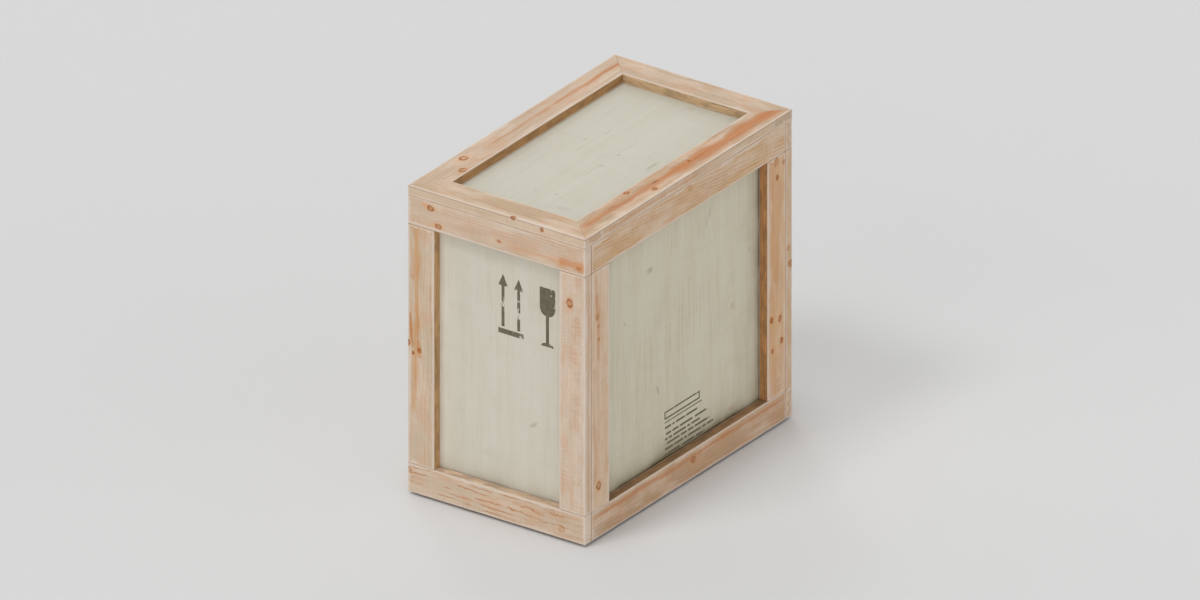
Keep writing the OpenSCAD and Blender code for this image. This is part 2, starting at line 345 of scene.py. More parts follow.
def mesh_of(name, shape):
    """A mesh in metres from a shape drawn in millimetres, which is used up."""
    mesh = bpy.data.meshes.new(name)
    shape.to_mesh(mesh)
    shape.free()
    mesh.transform(Matrix.Scale(0.001, 4))
    return mesh


def group_of(name, inputs, outputs):
    """A new shared node group. Gives it back with its nodes, what it is given and its results."""
    tree = bpy.data.node_groups.new(name, "ShaderNodeTree")
    for way, sockets in (("INPUT", inputs), ("OUTPUT", outputs)):
        for label, kind in sockets:
            tree.interface.new_socket(name=label, in_out=way, socket_type="NodeSocket" + kind)
    given = list(tree.nodes.new("NodeGroupInput").outputs)[:len(inputs)]
    return tree, Nodes(tree), given, tree.nodes.new("NodeGroupOutput").inputs


def give(nodes, result, *feeds):
    for socket, feed in zip(result, feeds):
        nodes.tree.links.new(feed, socket)


# A knot: where the grain swerves to, its ragged rim, its heart and its warm halo.
knot, nodes, (point, centre, radius), result = group_of(
    "knot", [("Point", "Vector"), ("Centre", "Vector"), ("Radius", "Float")],
    [("Swerve", "Vector"), ("Rim", "Float"), ("Heart", "Float"), ("Halo", "Float")])
ragged = nodes.vector("SUBTRACT", nodes.noise(point, 0.10, 3, out=1), (0.5, 0.5, 0.5))
offset = nodes.vector("SUBTRACT", point, centre)
gap = nodes.vector("DIVIDE", offset, nodes.add("CombineXYZ", radius, radius, radius))
frayed = nodes.vector("MULTIPLY_ADD", ragged, (1.0, 1.0, 0.3), gap)
reach = nodes.length(frayed, (0.8, 1, 0.7))
inner_ring = nodes.ridge(reach, 0.15, 0.3, 0.3, 0.55)
rim = nodes.calc("MAXIMUM", nodes.ridge(reach, 0.45, 0.8, 1.0, 1.28), nodes.times(inner_ring, 0.5))
uneven = nodes.noise(nodes.vector("ADD", point, (90, 40, 10)), 0.09, 1)
rim = nodes.times(rim, nodes.fade(uneven, 0.32, 0.6, 0.35, 1.1))
halo = nodes.fade(nodes.length(gap, (0.24, 0.5, 0.5)), 1.0, 0.1)
pull = nodes.fade(nodes.length(gap, (0.3, 0.33, 0.33)), 1.0, 0.0)
swerve = nodes.vector("MULTIPLY", nodes.vector("MULTIPLY", offset, (0, -0.65, 0)),
                      nodes.add("CombineXYZ", pull, pull, pull))
give(nodes, result, swerve, rim, nodes.fade(reach, 1.05, 0.75), halo)

# A streak of heartwood from one point to another: a soft band, with darker lines at its core.
streak, nodes, (point, start, end, half_width), result = group_of(
    "heart_streak",
    [("Point", "Vector"), ("Start", "Vector"), ("End", "Vector"), ("Half width", "Float")],
    [("Share", "Float"), ("Core", "Float")])
here, first, last = nodes.split(point), nodes.split(start), nodes.split(end)
run = nodes.calc("DIVIDE", nodes.minus(here[0], first[0]), nodes.minus(last[0], first[0]))
line = nodes.calc("MULTIPLY_ADD", run, nodes.minus(last[1], first[1]), first[1])
level = nodes.calc("MULTIPLY_ADD", run, nodes.minus(last[2], first[2]), first[2])
bend = nodes.wander(point, (0.008, 0.004, 0.02), 16)
off = nodes.calc("ADD", nodes.minus(here[1], line), bend)
deep = nodes.times(nodes.minus(here[2], level), 0.6)
breadth = nodes.fade(nodes.drawn(point, (0.012, 0.008, 0.01)), 0.3, 0.7, 0.6, 1.35)
off = nodes.calc("DIVIDE", nodes.length(nodes.add("CombineXYZ", off, deep, 0)),
                 nodes.times(half_width, breadth))
ends = nodes.ridge(run, 0.0, 0.12, 0.88, 1.0)
fray = nodes.drawn(point, (0.006, 0.24, 0.24), 3)
soft = nodes.times(nodes.fade(off, 1.15, 0.15), nodes.fade(fray, 0.32, 0.6, 0.55, 1.0))
lines = nodes.drawn(point, (0.004, 0.34, 0.34))
core = nodes.times(nodes.fade(off, 0.75, 0.1), nodes.fade(lines, 0.46, 0.62))
give(nodes, result, nodes.times(soft, ends), nodes.times(core, ends))

# The figure: yearly rings round a pith outside the board, long bands of tone, and fine fibre.
figure, nodes, (point, pith, lean, spacing, wild), result = group_of(
    "pine_figure",
    [("Point", "Vector"), ("Pith", "Vector"), ("Lean", "Float"), ("Spacing", "Float"),
     ("Wild", "Float")],
    [("Late", "Float"), ("Band", "Float"), ("Fibre", "Float"), ("Patch", "Float"),
     ("Chatter", "Float"), ("Flame", "Float")])
here, heart = nodes.split(point), nodes.split(pith)
sway = nodes.wander(point, (0.005, 0.012, 0.012), 12)
ripple = nodes.wander(point, (0.018, 0.05, 0.05), 2.5)
jagged = nodes.wander(point, (0.07, 0.05, 0.05), 5.5, 3, 0.6)
side = nodes.calc("MULTIPLY_ADD", here[0], lean, nodes.minus(here[1], heart[1]))
rise = nodes.minus(here[2], heart[2])
ring = nodes.length(nodes.add("CombineXYZ", 0, side, rise))
ring = nodes.calc("MULTIPLY_ADD", nodes.calc("ADD", sway, ripple), wild, ring)
ring = nodes.calc("MULTIPLY_ADD", jagged, nodes.minus(wild, 1), ring)
ring = nodes.calc("FRACT", nodes.calc("DIVIDE", ring, spacing))
late = nodes.ridge(ring, 0.3, 0.85, 0.88, 1.0)
broken = nodes.drawn(point, (0.014, 0.045, 0.045), 3)
flame = nodes.times(nodes.ridge(ring, 0.64, 0.86, 0.92, 1.0), nodes.fade(broken, 0.46, 0.60))
band = nodes.drawn(point, (0.003, 0.05, 0.05))
fine_band = nodes.drawn(point, (0.005, 0.19, 0.19))
band = nodes.calc("ADD", nodes.fade(band, 0.36, 0.64, 0, 0.6),
                  nodes.fade(fine_band, 0.38, 0.62, 0, 0.4))
saw = nodes.drawn(point, (0.30, 0.02, 0.02))
held = nodes.drawn(point, (0.008, 0.02, 0.02), 1)
saw = nodes.times(nodes.fade(saw, 0.42, 0.62), nodes.fade(held, 0.42, 0.6, 0.25, 1))
fibre = nodes.drawn(point, (0.025, 1.1, 1.1), 3, 0.6)
patch = nodes.drawn(point, (0.014, 0.03, 0.03), 3)
give(nodes, result, late, band, nodes.fade(fibre, 0.25, 0.75), nodes.fade(patch, 0.38, 0.62), saw,
     flame)

# How far a point on a board's surface is from the nearest arris.
arris, nodes, (point, half_size), result = group_of(
    "arris_distance", [("Point", "Vector"), ("Half", "Vector")], [("Distance", "Float")])
left = nodes.split(nodes.vector("SUBTRACT", half_size, nodes.vector("ABSOLUTE", point)))
nearer = nodes.calc("MINIMUM", left[0], left[1])
farther = nodes.calc("MAXIMUM", left[0], left[1])
give(nodes, result, nodes.calc("MAXIMUM", nearer, nodes.calc("MINIMUM", farther, left[2])))

heartwood = (198, 136, 88)
heart_core = srgb(172, 100, 58)
halo_wood = srgb(216, 156, 104)
knot_rim = srgb(156, 90, 36)
knot_tan = srgb(204, 166, 130)
knot_red = srgb(170, 96, 40)
rubbed_arris = srgb(222, 207, 193)
joint_dirt = srgb(132, 86, 50)
joint_brown = srgb(192, 142, 90)
pale_wood = srgb(224, 204, 184)
rosy_wood = srgb(213, 171, 138)
flame_wood = srgb(190, 126, 78)
late_tint = (0.80, 0.64, 0.50, 1)
band_tint = (0.86, 0.77, 0.66, 1)
fibre_tint = (0.8, 0.72, 0.64, 1)
saw_tint = (0.84, 0.74, 0.66, 1)
side_saw_tint = (0.92, 0.74, 0.56, 1)


def darker(colour, share):
    return (*(share * part for part in colour[:3]), 1)


def pine(name, half, shift, wood, knots, streaks, pith, lean, spacing, ring_share, wild, chatter,
         flames, recess, joints):
    """Procedural pine for one board, in its own axes: X along the grain, Y towards the recess."""
    def shifted(point):
        return [a + b for a, b in zip(point, shift)]

    material, nodes, surface = finish_of(name, Specular_IOR_Level=0.3)
    here = nodes.millimetres()
    run, inward, outward = nodes.split(here)
    grain = here
    marks = []
    for centre, radius, force, red in knots:
        parts = nodes.group(knot, here, centre, radius)
        grain = nodes.vector("ADD", grain, parts[0])
        marks.append((parts, force, red))
    seeded = nodes.vector("ADD", grain, shift)
    late, band, fibre, patch, saw, flame = nodes.group(figure, seeded, shifted(pith), lean, spacing,
                                                       wild)
    blotch = nodes.drawn(seeded, (0.007, 0.022, 0.022), 3)
    rosy = nodes.drawn(seeded, (0.012, 0.03, 0.03))
    rings = nodes.times(late, nodes.fade(patch, 0.0, 1.0, 0.25 * ring_share, ring_share))
    nodes.colour = nodes.mix(nodes.fade(blotch, 0.42, 0.66, 0, 0.7), wood, pale_wood)
    nodes.lay(rosy_wood, nodes.fade(rosy, 0.46, 0.66, 0, 0.45))
    nodes.lay(band_tint, band, 0.40, how="MULTIPLY")
    nodes.lay(late_tint, rings, how="MULTIPLY")
    nodes.lay(flame_wood, flame, flames)
    nodes.lay(fibre_tint, fibre, 0.15, how="MULTIPLY")
    nodes.lay(saw_tint, saw, chatter, how="MULTIPLY")
    for start, end, breadth, force, tone in streaks:
        share, core = nodes.group(streak, seeded, shifted(start), shifted(end), breadth)
        nodes.lay(srgb(*tone), share, force)
        if tone == heartwood:
            nodes.lay(heart_core, core, 0.7 * force)
    for parts, force, red in marks:
        nodes.lay(halo_wood, parts[3], 0.65 * force)

    seat = nodes.vector("ADD", here, shift)
    edge = nodes.group(arris, here, half)[0]
    scuffed = nodes.drawn(seat, (0.008, 0.05, 0.05))
    ragged = nodes.drawn(seat, (0.06, 0.3, 0.3))
    width = nodes.calc("ADD", nodes.fade(scuffed, 0.48, 0.72, 4.2, 12), nodes.times(ragged, 2.6))
    rubbed = nodes.fade(nodes.calc("DIVIDE", edge, width), 1.05, 0.75)
    # The faces that look into the recess are painted a darker brown: painted shade of the recess, laid
    # over the streaks and scratches of sawn wood.
    if recess:
        deep = nodes.minus(half[2], nodes.calc("ABSOLUTE", outward))
        shade = nodes.times(nodes.fade(inward, half[1] - 0.5, half[1] - 0.1),
                            nodes.fade(deep, 1.6, 3.4))
        streaky = nodes.drawn(seat, (0.012, 0.4, 0.4), 3)
        stained = nodes.drawn(seat, (0.02, 0.06, 0.06), 3)
        scratch = nodes.drawn(seat, (0.09, 0.7, 0.7))
        recess_shade = srgb(*recess)
        brown = nodes.mix(nodes.fade(streaky, 0.35, 0.65), darker(recess_shade, 1.26), darker(recess_shade, 0.86))
        brown = nodes.mix(nodes.fade(stained, 0.42, 0.62), brown, darker(recess_shade, 0.76))
        brown = nodes.mix(nodes.times(late, 0.35), brown, darker(recess_shade, 0.5))
        brown = nodes.mix(nodes.fade(scratch, 0.66, 0.72, 0, 0.6), brown, wood)
        nodes.lay(brown, shade)
        rubbed = nodes.times(rubbed, nodes.minus(1, shade))
    worn_white = 0.6 if joints == "mitre" else 0.70
    nodes.lay(rubbed_arris, rubbed, worn_white)
    for parts, force, red in marks:
        heart_tone = tuple(a + (b - a) * red for a, b in zip(knot_tan, knot_red))
        nodes.lay(heart_tone, parts[2], 0.75 * force)
        nodes.lay(knot_rim, parts[1], 0.95 * force)

    if joints == "mitre":
        crossing = nodes.calc("ADD", nodes.calc("ABSOLUTE", run), inward)
        gap = nodes.minus(half[0] - half[1], crossing)
        line = nodes.times(nodes.fade(nodes.calc("ABSOLUTE", gap), 1.8, 0.6),
                           nodes.fade(outward, half[2] - 1.0, half[2] - 0.3))
        nodes.lay(joint_dirt, line, 0.16)
        ticks = nodes.times(saw, nodes.fade(inward, 0.6 - half[1], 0.2 - half[1], 0, 0.35))
        nodes.lay(side_saw_tint, ticks, how="MULTIPLY")
        under = nodes.times(nodes.fade(outward, half[2] - 6.5, half[2] - 4.5, 0, 0.4),
                            nodes.fade(outward, half[2] - 1.4, half[2] - 2.6))
        under = nodes.times(under, nodes.fade(inward, 0.6 - half[1], 0.2 - half[1]))
        nodes.lay(joint_dirt, under)
    elif joints:
        near = {"ends": nodes.minus(half[0], nodes.calc("ABSOLUTE", run)),
                "outer": nodes.calc("ADD", inward, half[1]),
                "back": nodes.calc("ADD", outward, half[2])}
        packed = nodes.drawn(seat, (0.03, 0.03, 0.03))
        dirty = nodes.times(nodes.fade(edge, 4.6, 2.4), nodes.fade(packed, 0.38, 0.62, 0.4, 0.65))
        for joint in joints.split():
            nodes.lay(joint_brown, dirty, nodes.fade(near[joint], 3.2, 1.0))
    height = nodes.calc("MULTIPLY_ADD", late, 0.4, nodes.times(fibre, 0.6))
    join(nodes, surface, Base_Color=nodes.colour, Roughness=nodes.fade(fibre, 0, 1, 0.58, 0.78),
         Normal=nodes.bump(height, 0.0004))
    return material


# A board's recess colour is the painted shade on its faces that look into the recess.
def timber(node, inner, outward, wood, body="crate", knots=(), streaks=(), pith=(-30, -62),
           lean=0.012, spacing=6.5, ring_share=0.38, wild=1.0, chatter=0.25, flames=0.0,
           recess=(188, 140, 96), joints="back", lap=None):
    """One board in the place of its CAD solid, with knots and streaks given by where they show.

    A knot is its centre, radius, strength and redness. A streak is its two ends, half width,
    strength and colour.
    """
    chance = random.Random(node)
    low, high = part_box(node)
    size = 1000 * (high - low)
    grain = inner.cross(outward)
    place = Matrix((grain, inner, outward)).transposed().to_4x4()
    place.translation = (low + high) / 2
    half = Vector([abs(size.dot(axis)) / 2 - planed_off for axis in (grain, inner, outward)])
    if lap is None:
        half.x -= sawn_short
        # A side wall is let in, so its rails are a hair short and its stiles a hair narrow.
        if outward.x:
            half[0 if grain.y else 1] -= let_in
        corners, faces = square_block(half)
    else:
        corners, faces = lapped_block(half, lap == "through")
    shape = sliced(corners, faces, half)
    wear(shape, half, chance, lap is None)
    mesh = mesh_of(node + "_timber", shape)
    mesh.shade_smooth()
    board = placed(node + "_timber", mesh)
    board.matrix_world = place
    board.modifiers.new("flat_faces", "WEIGHTED_NORMAL")
    shift = [chance.uniform(-9000, 9000) for _ in range(3)]
    to_board = Matrix.Scale(1000, 4) @ place.inverted() @ Matrix.Scale(0.001, 4)
    own_knots = [(to_board @ Vector(at), radius, force, red) for at, radius, force, red in knots]
    own_streaks = [(to_board @ Vector(start), to_board @ Vector(end), breadth, force,
                    tone[0] if tone else heartwood) for start, end, breadth, force, *tone in streaks]
    mesh.materials.append(pine(node + "_pine", half, shift, srgb(*wood), own_knots, own_streaks,
                               (0, *pith), lean, spacing, ring_share, wild, chatter, flames, recess,
                               joints))
    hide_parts(node)
    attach(board, body)
    return board


for node in ("front_bearer", "middle_bearer", "rear_bearer"):
    timber(node, FRONT, DOWN, (178, 148, 118), recess=None)


# Front wall. Pine rails run through the full width with the stiles between them, nailed into the
# side frames at the corners. Knots and streaks are where they show on the face. The top rail is
# bored for the lid's nails.
nail_bore = 3.2
nail_reach = 33.6
lid_seat = 924
end_line = 485
along_ends = (-177.4, -59.1, 59.1, 177.4)


def pegs(name, places, radius, depth, taper=0):
    """One mesh of round pegs, with a peg at each of the places."""
    shape = bmesh.new()
    for place in places:
        bmesh.ops.create_cone(shape, cap_ends=True, segments=16, radius1=radius,
                              radius2=radius - taper, depth=depth, matrix=place)
    return mesh_of(name, shape)


def bored(board, mouths):
    """Drills the lid's nail holes down into the top edge of a rail."""
    places = [Matrix.Translation((x, y, lid_seat)) for x, y in mouths]
    drill = placed("drill", pegs("drill", places, nail_bore / 2, 2 * nail_reach))
    holes = board.modifiers.new("holes", "BOOLEAN")
    holes.operation, holes.solver, holes.object = "DIFFERENCE", "EXACT", drill
    board.modifiers.move(1, 0)
    seen = board.evaluated_get(bpy.context.evaluated_depsgraph_get())
    board.modifiers.clear()
    board.data = bpy.data.meshes.new_from_object(seen)
    board.modifiers.new("flat_faces", "WEIGHTED_NORMAL")
    bpy.data.objects.remove(drill)


timber("front_bottom_rail", UP, FRONT, (210, 191, 169), pith=(-6, -40), lean=0.03, spacing=15,
       ring_share=0.35, wild=2.8, flames=0.85, recess=(212, 184, 156),
       knots=[((219, -500, 36), 8, 0.4, 0.2), ((190, -500, 83), 6, 0.3, 0.2),
              ((-297, -500, 76), 8, 0.5, 0.4)],
       streaks=[((296, -485, 52), (312, -485, 52), 60, 0.9, (228, 212, 196))])
rail = timber(
    "front_top_rail", DOWN, FRONT, (212, 190, 168), joints="back outer", recess=(186, 150, 114),
    knots=[((-223, -500, 903), 8, 0.9, 0.5), ((-197, -500, 854), 8, 0.9, 0.4),
           ((8, -500, 866), 5, 0.8, 0.6), ((278, -500, 858), 6, 0.5, 1.0)],
    streaks=[((-256, -500, 914), (-222, -500, 900), 7, 0.7, (222, 158, 106)),
             ((20, -500, 862), (330, -500, 866), 16, 0.45, (212, 156, 112)),
             ((205, -500, 862), (330, -500, 858), 17, 0.95, (206, 142, 94)),
             ((296, -485, 880), (312, -485, 880), 60, 0.8, (224, 206, 188))])
bored(rail, [(x, -end_line) for x in along_ends])
timber("front_left_stile", RIGHT, FRONT, (210, 192, 170), joints="back ends",
       recess=(196, 155, 108),
       knots=[((-262, -500, 453), 6, 1.0, 1.0), ((-299, -500, 468), 7, 1.0, 1.0),
              ((-282, -500, 440), 4, 1.0, 1.0), ((-284, -500, 676), 6, 0.3, 0.3)],
       streaks=[((-271, -500, 900), (-270, -500, 470), 14, 0.9, (202, 152, 100)),
                ((-275, -500, 560), (-276, -500, 240), 13, 0.75, (202, 152, 100)),
                ((-294, -500, 570), (-284, -500, 452), 9, 0.9, (190, 124, 66)),
                ((-272, -500, 600), (-262, -500, 436), 9, 0.5, (196, 138, 88)),
                ((-268, -500, 486), (-257, -500, 426), 13, 0.7, (196, 138, 84))])
timber("front_right_stile", LEFT, FRONT, (217, 199, 180), joints="back ends", spacing=10,
       ring_share=0.18, chatter=0.5, recess=(186, 150, 114),
       knots=[((247, -500, 742), 10, 1, 0.35)],
       streaks=[((300, -485, 980), (300, -485, -40), 13, 0.35, (194, 147, 98)),
                ((294, -500, 790), (294, -500, 110), 7, 0.5, (208, 190, 174)),
                ((292, -500, 740), (292, -500, 400), 10, 0.8, (216, 200, 184))])


# Right wall. Its pine frame is let in between the front and rear frames, a hair short so that the
# joints show, and is sawn from warmer stuff. On the top rail the yearly rings run out at a slant.
side_line = 285
along_sides = (-351.25, -210.75, -70.25, 70.25, 210.75, 351.25)
timber("right_bottom_rail", UP, RIGHT, (198, 166, 135), joints="back ends",
       recess=(164, 127, 90), knots=[((300, 23, 63), 9, 0.9, 0.6)],
       streaks=[((300, -500, 75), (300, 500, 76), 9, 0.8)])
rail = timber(
    "right_top_rail", DOWN, RIGHT, (213, 181, 143), joints="back ends outer",
    pith=(-300, -400), lean=0.1, spacing=7, ring_share=0.5, flames=0.5, recess=(190, 144, 100),
    knots=[((300, 8, 908), 8, 0.3, 0.3)])
bored(rail, [(side_line, y) for y in along_sides])
timber("right_front_stile", REAR, RIGHT, (223, 198, 171), joints="back ends outer",
       recess=(196, 156, 116),
       knots=[((300, -434.7, 166), 9, 1.0, 0.1), ((300, -433, 618), 4, 0.8, 0.5),
              ((300, -440, 690), 6, 0.7, 0.4), ((300, -436, 660), 4, 0.6, 0.6)],
       streaks=[((300, -440, 780), (300, -436, 540), 9, 0.6)])
timber("right_rear_stile", FRONT, RIGHT, (220, 186, 148), joints="back ends outer",
       recess=(190, 138, 88), chatter=0.6,
       knots=[((300, 425, 821), 10, 0.6, 0.5), ((300, 428, 771), 6, 1.0, 0.8),
              ((300, 401, 341), 7, 1.0, 1.0), ((300, 441, 329), 8, 0.7, 1.0),
              ((300, 450, 260), 7, 1.0, 1.0), ((300, 405, 243), 6, 0.9, 0.9),
              ((300, 460, 807), 6, 0.6, 0.6)],
       streaks=[((300, 415, 890), (300, 420, 420), 26, 0.6, (204, 150, 102)),
                ((300, 405, 520), (300, 415, 60), 18, 0.5, (204, 150, 102))])


# Rear wall. A pine frame made and nailed as the front one is, with the rails through and the
# stiles between them. Its top rail is bored for the lid's nails too.
timber("rear_bottom_rail", UP, REAR, (206, 178, 150), knots=[((-120, 500, 47), 9, 0.8, 0.6)])
rail = timber("rear_top_rail", DOWN, REAR, (211, 186, 162), joints="back outer",
              knots=[((90, 500, 872), 10, 0.7, 0.3), ((-190, 500, 893), 7, 0.8, 0.5)])
bored(rail, [(x, end_line) for x in along_ends])
timber("rear_left_stile", RIGHT, REAR, (209, 182, 154), joints="back ends",
       knots=[((-248, 500, 602), 9, 0.9, 0.8)],
       streaks=[((-255, 500, 860), (-262, 500, 300), 12, 0.6)])
timber("rear_right_stile", LEFT, REAR, (208, 182, 150), joints="back ends",
       knots=[((300, 493, 481), 8, 0.8, 0.6), ((300, 483, 531), 6, 0.5, 0.4),
              ((262, 500, 220), 8, 0.9, 0.6)])


# Left wall. A pine frame made as the right one is, and let in between the front and rear frames
# in the same way. Its top rail is bored for the lid's nails.
timber("left_bottom_rail", UP, LEFT, (204, 172, 143), joints="back ends",
       knots=[((-300, -250, 58), 9, 0.8, 0.5)],
       streaks=[((-300, -400, 40), (-300, 100, 46), 10, 0.5)])
rail = timber("left_top_rail", DOWN, LEFT, (216, 188, 158), joints="back ends outer",
              knots=[((-300, 180, 884), 9, 0.8, 0.4), ((-300, -310, 866), 7, 0.7, 0.6)])
bored(rail, [(-side_line, y) for y in along_sides])
timber("left_front_stile", REAR, LEFT, (216, 190, 162), joints="back ends outer",
       knots=[((-300, -420, 302), 10, 0.9, 0.7)])
timber("left_rear_stile", FRONT, LEFT, (214, 184, 150), joints="back ends outer",
       knots=[((-300, 431, 640), 9, 0.8, 0.5), ((-300, 418, 410), 7, 0.7, 0.6)],
       streaks=[((-300, 425, 800), (-300, 420, 300), 14, 0.5)])


# Plywood. Sanded birch-faced sheet that has greyed to a pale olive, nailed to the battens from
# inside. Its edges show the crossed veneers. The CAD panels keep their shape and nail holes.
ply_streak = srgb(190, 179, 147)
ply_edge_pale = srgb(205, 182, 145)
ply_edge_dark = srgb(150, 112, 74)
veneer_pair = 3.0
# The first tone darkens the sheet's scratches and cloud and is also painted shade along the rails; the
# crease tone is painted shade in the creases beside the rails.
dust_and_shade, dirt, olive = (112, 98, 72), (120, 106, 80), (148, 148, 116)
rusty, crease_shade = (176, 128, 84), (58, 46, 34)


def plywood(node, along, across, through, face=(207, 202, 187), streaky=1.0, edge_shading=(), smudges=()):
    """Plywood for one panel. The three letters say which axes run along, across and through it.

    A shaded edge is its axis, place, the way that it fades, its reach, strength and colour: it is
    painted shade along the rails, and once a painted light. A smudge is its centre along and across,
    its half sizes, its slant, colour and strength.
    """
    material, nodes, surface = finish_of(node + "_plywood", Specular_IOR_Level=0.25)
    place_of = dict(zip("XYZ", nodes.split(nodes.millimetres())))
    run, wide, thick = place_of[along], place_of[across], place_of[through]
    seat = nodes.add("CombineXYZ", run, wide, thick)
    seat = nodes.vector("ADD", seat, [random.Random(node).uniform(-5000, 5000) for _ in range(3)])
    fibre = nodes.drawn(seat, (0.008, 0.28, 0.28), 3)
    veneer = nodes.drawn(seat, (0.0025, 0.035, 0.03))
    thread = nodes.drawn(seat, (0.004, 0.12, 0.12))
    scratch = nodes.drawn(seat, (0.012, 0.45, 0.45), 1)
    rollers = nodes.drawn(seat, (0.07, 0.006, 0.01))
    shown = nodes.fade(nodes.drawn(seat, (0.003, 0.006, 0.01), 1), 0.42, 0.62, 0.25, 1.0)
    cloud = nodes.noise(seat, 0.01, 3)
    streaks = nodes.fade(veneer, 0.4, 0.7, 0, 0.04 + 0.12 * streaky)
    nodes.colour = nodes.mix(streaks, srgb(*face), ply_streak)
    for lines, start, strength in ((thread, 0.45, 0.30), (fibre, 0.48, 0.32)):
        nodes.lay(ply_streak, nodes.fade(lines, start, 0.72, 0, strength * streaky), shown)
    nodes.lay(ply_streak, nodes.fade(rollers, 0.45, 0.7, 0, 0.05 + 0.05 * streaky))
    nodes.lay(srgb(*dust_and_shade), nodes.fade(scratch, 0.72, 0.78, 0, 0.35))
    nodes.lay(srgb(*dust_and_shade), nodes.fade(cloud, 0.52, 0.78, 0, 0.06))
    # Painted shade darkens each panel towards the rails round it and into the creases along them; on the
    # front panel a painted light brightens the strip by the left stile.
    for axis, edge, way, reach, strength, tone in edge_shading:
        gone = nodes.times(nodes.minus(place_of[axis], edge), -way / reach)
        share = nodes.calc("MINIMUM", nodes.calc("EXPONENT", gone), 1.4)
        nodes.lay(srgb(*tone), share,
                  nodes.fade(cloud, 0.3, 0.7, 0.6 * strength, 1.3 * strength))
    for at_run, at_wide, long, broad, slant, tone, strength in smudges:
        east = nodes.minus(run, at_run)
        north = nodes.calc("MULTIPLY_ADD", east, slant, nodes.minus(wide, at_wide))
        spot = nodes.add("CombineXYZ", nodes.calc("DIVIDE", east, long),
                         nodes.calc("DIVIDE", north, broad))
        spot = nodes.vector("ADD", spot, nodes.noise(seat, 0.06, 3, out=1))
        spot = nodes.length(nodes.vector("SUBTRACT", spot, (0.5, 0.5, 0.5)), (1, 1, 0))
        nodes.lay(srgb(*tone), nodes.fade(spot, 1.0, 0.2, 0, strength))
    facing = nodes.split(nodes.add("TexCoord", out=1))["XYZ".index(through)]
    cut = nodes.fade(nodes.calc("ABSOLUTE", facing), 0.6, 0.4)
    layer = nodes.calc("FRACT", nodes.times(thick, 1 / veneer_pair))
    layer = nodes.fade(nodes.calc("ABSOLUTE", nodes.minus(layer, 0.5)), 0.2, 0.3)
    nodes.lay(nodes.mix(layer, ply_edge_pale, ply_edge_dark), cut)
    join(nodes, surface, Base_Color=nodes.colour, Roughness=nodes.fade(fibre, 0.3, 0.7, 0.55, 0.7),
         Normal=nodes.bump(nodes.times(fibre, 0.5), 0.0003))
    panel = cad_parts[node]
    panel.data.materials.clear()
    panel.data.materials.append(material)


plywood("floor_panel", "X", "Y", "Z")
# On the front panel: a painted light by the left stile, painted shade above the bottom rail and under
# the top rail, and a line of painted shade in the crease over the bottom rail.
plywood("front_panel", "Z", "X", "Y", face=(211, 206, 192), streaky=0.5,
        edge_shading=[("X", -212, 1, 18, 0.75, (240, 234, 218)), ("Z", 96, 1, 30, 0.24, dust_and_shade),
               ("Z", 836, -1, 30, 0.2, dust_and_shade), ("Z", 96, 1, 4, 0.4, crease_shade)],
        smudges=[(313, 104, 15, 14, -0.9, dirt, 0.3)])
# Painted shade above the bottom rail and under the top rail.
plywood("rear_panel", "Z", "X", "Y",
        edge_shading=[("Z", 96, 1, 30, 0.16, dust_and_shade), ("Z", 836, -1, 30, 0.1, dust_and_shade)])
# Painted shade above the bottom rail, with a line of it in the crease.
plywood("left_panel", "Z", "Y", "X",
        edge_shading=[("Z", 96, 1, 35, 0.3, dust_and_shade), ("Z", 96, 1, 4, 0.5, crease_shade)])
# On the right panel: strong painted shade above the bottom rail with a dark crease line, painted shade
# by the rear stile with its crease line, and painted shade under the top rail.
plywood("right_panel", "Z", "Y", "X", face=(212, 206, 186), streaky=1.2,
        edge_shading=[("Z", 96, 1, 35, 0.58, (106, 92, 22)), ("Y", 382, -1, 30, 0.42, dust_and_shade),
               ("Z", 836, -1, 32, 0.24, dust_and_shade), ("Z", 96, 1, 5, 1.0, (58, 46, 20)),
               ("Y", 382, -1, 5, 0.6, crease_shade)],
        smudges=[(709, -144, 14, 22, 0, dirt, 0.4), (765, 146, 24, 10, 0, dirt, 0.2),
                 (745, 130, 30, 7, 0, dirt, 0.2), (579, 336, 12, 12, 0, dirt, 0.25),
                 (589, -267, 7, 10, 0, dirt, 0.35), (322, -107, 20, 9, 0.3, dirt, 0.35),
                 (439, 253, 14, 12, 0, rusty, 0.35), (122, 249, 10, 20, 0, rusty, 0.35)])
# Painted shade towards the rear batten.
plywood("lid_panel", "Y", "X", "Z", face=(203, 200, 186), streaky=0.4,
        edge_shading=[("Y", 412, -1, 60, 0.14, dust_and_shade)],
        smudges=[(386, 31, 14, 20, 0, rusty, 0.12), (137, -69, 22, 4, 0, dirt, 0.22),
                 (69, -97, 20, 5, 0, dirt, 0.18), (37, 37, 9, 5, 0, dirt, 0.4),
                 (95, 33, 50, 2, 0, dirt, 0.3), (-44, 36, 12, 12, 0, dirt, 0.18),
                 (-100, 32, 80, 2.5, 0, dirt, 0.18), (31, 153, 50, 9, 0, olive, 0.45),
                 (-262, 36, 10, 5, 0, dirt, 0.3), (-325, 102, 16, 40, 0, dirt, 0.12)])


# Stencilled marks. Two arrows on a bar and a stemmed glass, sprayed on the front panel in a dark
# olive that has worn through in places. Each mark is a real film of paint with real holes.
film_thickness = 0.15
film_cell = 1.2
stencil_paint, nodes, surface = finish_of("stencil_paint", Specular_IOR_Level=0.25)
here = nodes.millimetres()
cloudy = nodes.noise(here, 0.06, 3)
speck = nodes.noise(here, 0.5, 2)
nodes.colour = nodes.mix(nodes.fade(cloudy, 0.35, 0.65), srgb(99, 94, 76), srgb(112, 106, 87))
nodes.lay(srgb(168, 160, 138), nodes.fade(speck, 0.62, 0.72, 0, 0.25))
join(nodes, surface, Base_Color=nodes.colour, Roughness=nodes.fade(cloudy, 0.3, 0.7, 0.6, 0.8),
     Normal=nodes.bump(speck, 0.0001))


